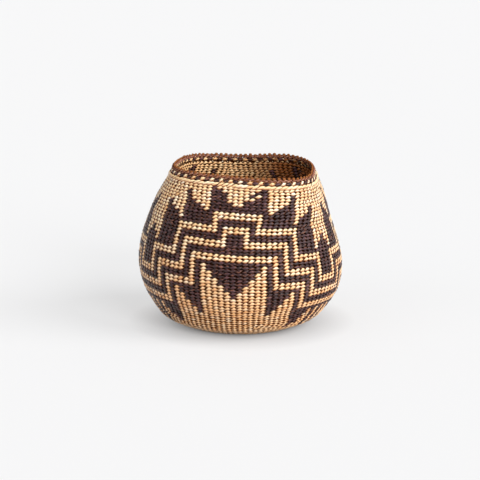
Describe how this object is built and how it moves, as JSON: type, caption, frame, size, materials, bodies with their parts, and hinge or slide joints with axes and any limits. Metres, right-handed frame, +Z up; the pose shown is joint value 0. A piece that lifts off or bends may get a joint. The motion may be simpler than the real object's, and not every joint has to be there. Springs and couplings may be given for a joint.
{
  "type": "twined bowl basket",
  "caption": "Small twined bowl basket with a flat base, a full belly, an uneven drawn-in mouth and a stepped dark and light pattern.",
  "frame": {"origin": "centre of the flat base, at the surface that the basket stands on", "axes": "+Z up out of the mouth; the front of the picture faces -Y"},
  "size_m": [0.1288, 0.1288, 0.102],
  "materials": {
    "straw_overlay": "glossy dried grass overlay on root, satin",
    "dark_fern": "dark fern stem overlay, satin",
    "straw_and_fern": "dark and light stitches in one course",
    "red_root": "bare reddish brown root, matte",
    "willow_shoots": "peeled shoots, matte"
  },
  "bodies": {
    "root": {"start_knot_under": "straw_overlay", "start_knot_inside": "straw_overlay", "warps": "willow_shoots", "base_courses_inner_turns": "straw_overlay", "base_courses_outer_turns": "straw_overlay", "foot_courses": "straw_overlay", "plain_wall_courses": "straw_overlay", "lower_pattern_courses": "straw_and_fern", "belly_pattern_courses": "dark_fern", "shoulder_pattern_courses": "dark_fern", "neck_pattern_courses": "straw_overlay", "three_strand_ridge": "straw_overlay", "two_colour_course": "straw_and_fern", "rim_root_course_lower": "red_root", "rim_root_course_upper": "red_root", "base_lining_courses": "straw_overlay", "lower_lining_courses": "straw_overlay", "pattern_lining_courses": "straw_overlay", "neck_lining_courses": "red_root"}
  },
  "joints": []
}
